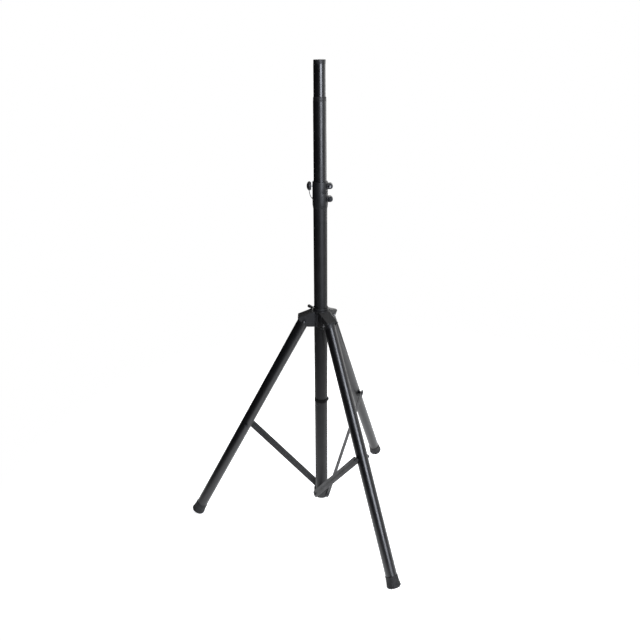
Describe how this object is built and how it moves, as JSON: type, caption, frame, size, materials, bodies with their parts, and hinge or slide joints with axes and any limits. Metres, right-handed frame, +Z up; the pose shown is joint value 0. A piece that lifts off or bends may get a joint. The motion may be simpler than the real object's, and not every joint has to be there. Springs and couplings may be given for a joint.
{
  "type": "tripod loudspeaker stand",
  "caption": "Folding tripod stand for a loudspeaker, with a telescoping pole, a sliding hub, hinged legs, flat struts and rubber feet.",
  "frame": {"origin": "on the floor, on the axis of the main tube", "axes": "+Z up along the main tube, leg 1 along -X, leg 2 at 300 degrees and leg 3 at 60 degrees about +Z"},
  "size_m": [0.6915, 0.7914, 1.493],
  "materials": {
    "tube_paint": "satin black powder coat",
    "pole_paint": "semi-gloss black",
    "hub_paint": "matt black powder coat",
    "strut_paint": "satin black powder coat",
    "black_plastic": "moulded, lightly textured",
    "white_nylon": "plain moulded nylon",
    "rubber": "matt moulded rubber",
    "zinc": "bright zinc plate",
    "black_steel": "black zinc plate",
    "cord": "braided black cord"
  },
  "bodies": {
    "column": {"main_tube": "tube_paint", "tube_plug": "black_plastic", "collar": "black_plastic", "upper_clamp_bolt": "zinc", "lower_clamp_bolt": "black_steel", "clamp_nuts": "black_steel", "clamp_pad": "white_nylon", "lanyard_anchor": "black_steel", "pin_lanyard": "cord", "stop_band": "hub_paint", "stop_screw": "black_steel", "stop_rivet": "black_steel", "lower_bracket": "black_plastic", "bracket_screw": "zinc", "strut_pivot_bolts": "black_steel", "strut_pivot_washers": "black_steel"},
    "pole": {"sliding_pole": "pole_paint", "pole_foot": "black_plastic", "ferrule": "black_plastic", "spigot": "pole_paint", "top_cap": "black_plastic"},
    "clamp_handle": {"clamp_knob": "black_plastic", "clamp_screw": "zinc"},
    "locking_pin": {"lock_pin": "zinc", "lock_pin_head": "black_plastic"},
    "hub_body": {"hub": "hub_paint", "hub_liner": "black_plastic", "hub_pad": "white_nylon", "leg_pivot_bolts": "black_steel", "leg_pivot_nuts": "black_steel"},
    "hub_handle": {"hub_knob": "black_plastic", "hub_knob_screw": "zinc"},
    "leg_1": {"leg_1_tube": "tube_paint", "leg_1_head": "black_plastic", "leg_1_foot": "rubber", "leg_1_strut_bolt": "black_steel", "leg_1_strut_nut": "black_steel", "leg_1_spacer": "black_plastic"},
    "leg_2": {"leg_2_tube": "tube_paint", "leg_2_head": "black_plastic", "leg_2_foot": "rubber", "leg_2_strut_bolt": "black_steel", "leg_2_strut_nut": "black_steel", "leg_2_spacer": "black_plastic"},
    "leg_3": {"leg_3_tube": "tube_paint", "leg_3_head": "black_plastic", "leg_3_foot": "rubber", "leg_3_strut_bolt": "black_steel", "leg_3_strut_nut": "black_steel", "leg_3_spacer": "black_plastic"},
    "strut_arm_1": {"strut_1": "strut_paint", "strut_1_bolt_head": "black_steel"},
    "strut_arm_2": {"strut_2": "strut_paint", "strut_2_bolt_head": "black_steel"},
    "strut_arm_3": {"strut_3": "strut_paint", "strut_3_bolt_head": "black_steel"}
  },
  "joints": [
    {"name": "pole_slide", "type": "slide", "parent": "column", "child": "pole", "axis": [0, 0, 1], "range_m": [-0.2, 0.3]},
    {"name": "lock_pin_pull", "type": "slide", "parent": "column", "child": "locking_pin", "axis": [-1, 0, 0], "range_m": [-0.0022, 0.045]},
    {"name": "clamp_knob_turn", "type": "hinge", "parent": "column", "child": "clamp_handle", "pos_m": [0, 0.0335, 1.135], "axis": [0, 1, 0], "continuous": true},
    {"name": "hub_slide", "type": "slide", "parent": "column", "child": "hub_body", "axis": [0, 0, 1], "range_m": [0, 0.13896]},
    {"name": "hub_knob_turn", "type": "hinge", "parent": "hub_body", "child": "hub_handle", "pos_m": [-0.01725, 0.02988, 0.751], "axis": [-0.5, 0.866, 0], "continuous": true},
    {"name": "leg_1_fold", "type": "hinge", "parent": "hub_body", "child": "leg_1", "pos_m": [-0.0514, 0, 0.729], "axis": [0, -1, 0], "range_deg": [0, 26.52]},
    {"name": "leg_2_fold", "type": "hinge", "parent": "hub_body", "child": "leg_2", "pos_m": [0.0257, -0.04451, 0.729], "axis": [0.866, 0.5, 0], "range_deg": [0, 26.52]},
    {"name": "leg_3_fold", "type": "hinge", "parent": "hub_body", "child": "leg_3", "pos_m": [0.0257, 0.04451, 0.729], "axis": [-0.866, 0.5, 0], "range_deg": [0, 26.52]},
    {"name": "strut_1_fold", "type": "hinge", "parent": "column", "child": "strut_arm_1", "pos_m": [0, 0.0252, 0.0807], "axis": [0, 1, 0], "range_deg": [0, 32.24]},
    {"name": "strut_2_fold", "type": "hinge", "parent": "column", "child": "strut_arm_2", "pos_m": [-0.02182, -0.0126, 0.0807], "axis": [-0.866, -0.5, 0], "range_deg": [0, 32.24]},
    {"name": "strut_3_fold", "type": "hinge", "parent": "column", "child": "strut_arm_3", "pos_m": [0.02182, -0.0126, 0.0807], "axis": [0.866, -0.5, 0], "range_deg": [0, 32.24]}
  ],
  "couplings": [
    {"joint": "leg_1_fold", "follows": "hub_slide", "rad_per_m": 3.3298},
    {"joint": "leg_2_fold", "follows": "hub_slide", "rad_per_m": 3.3298},
    {"joint": "leg_3_fold", "follows": "hub_slide", "rad_per_m": 3.3298},
    {"joint": "strut_1_fold", "follows": "hub_slide", "rad_per_m": 4.0487},
    {"joint": "strut_2_fold", "follows": "hub_slide", "rad_per_m": 4.0487},
    {"joint": "strut_3_fold", "follows": "hub_slide", "rad_per_m": 4.0487}
  ]
}
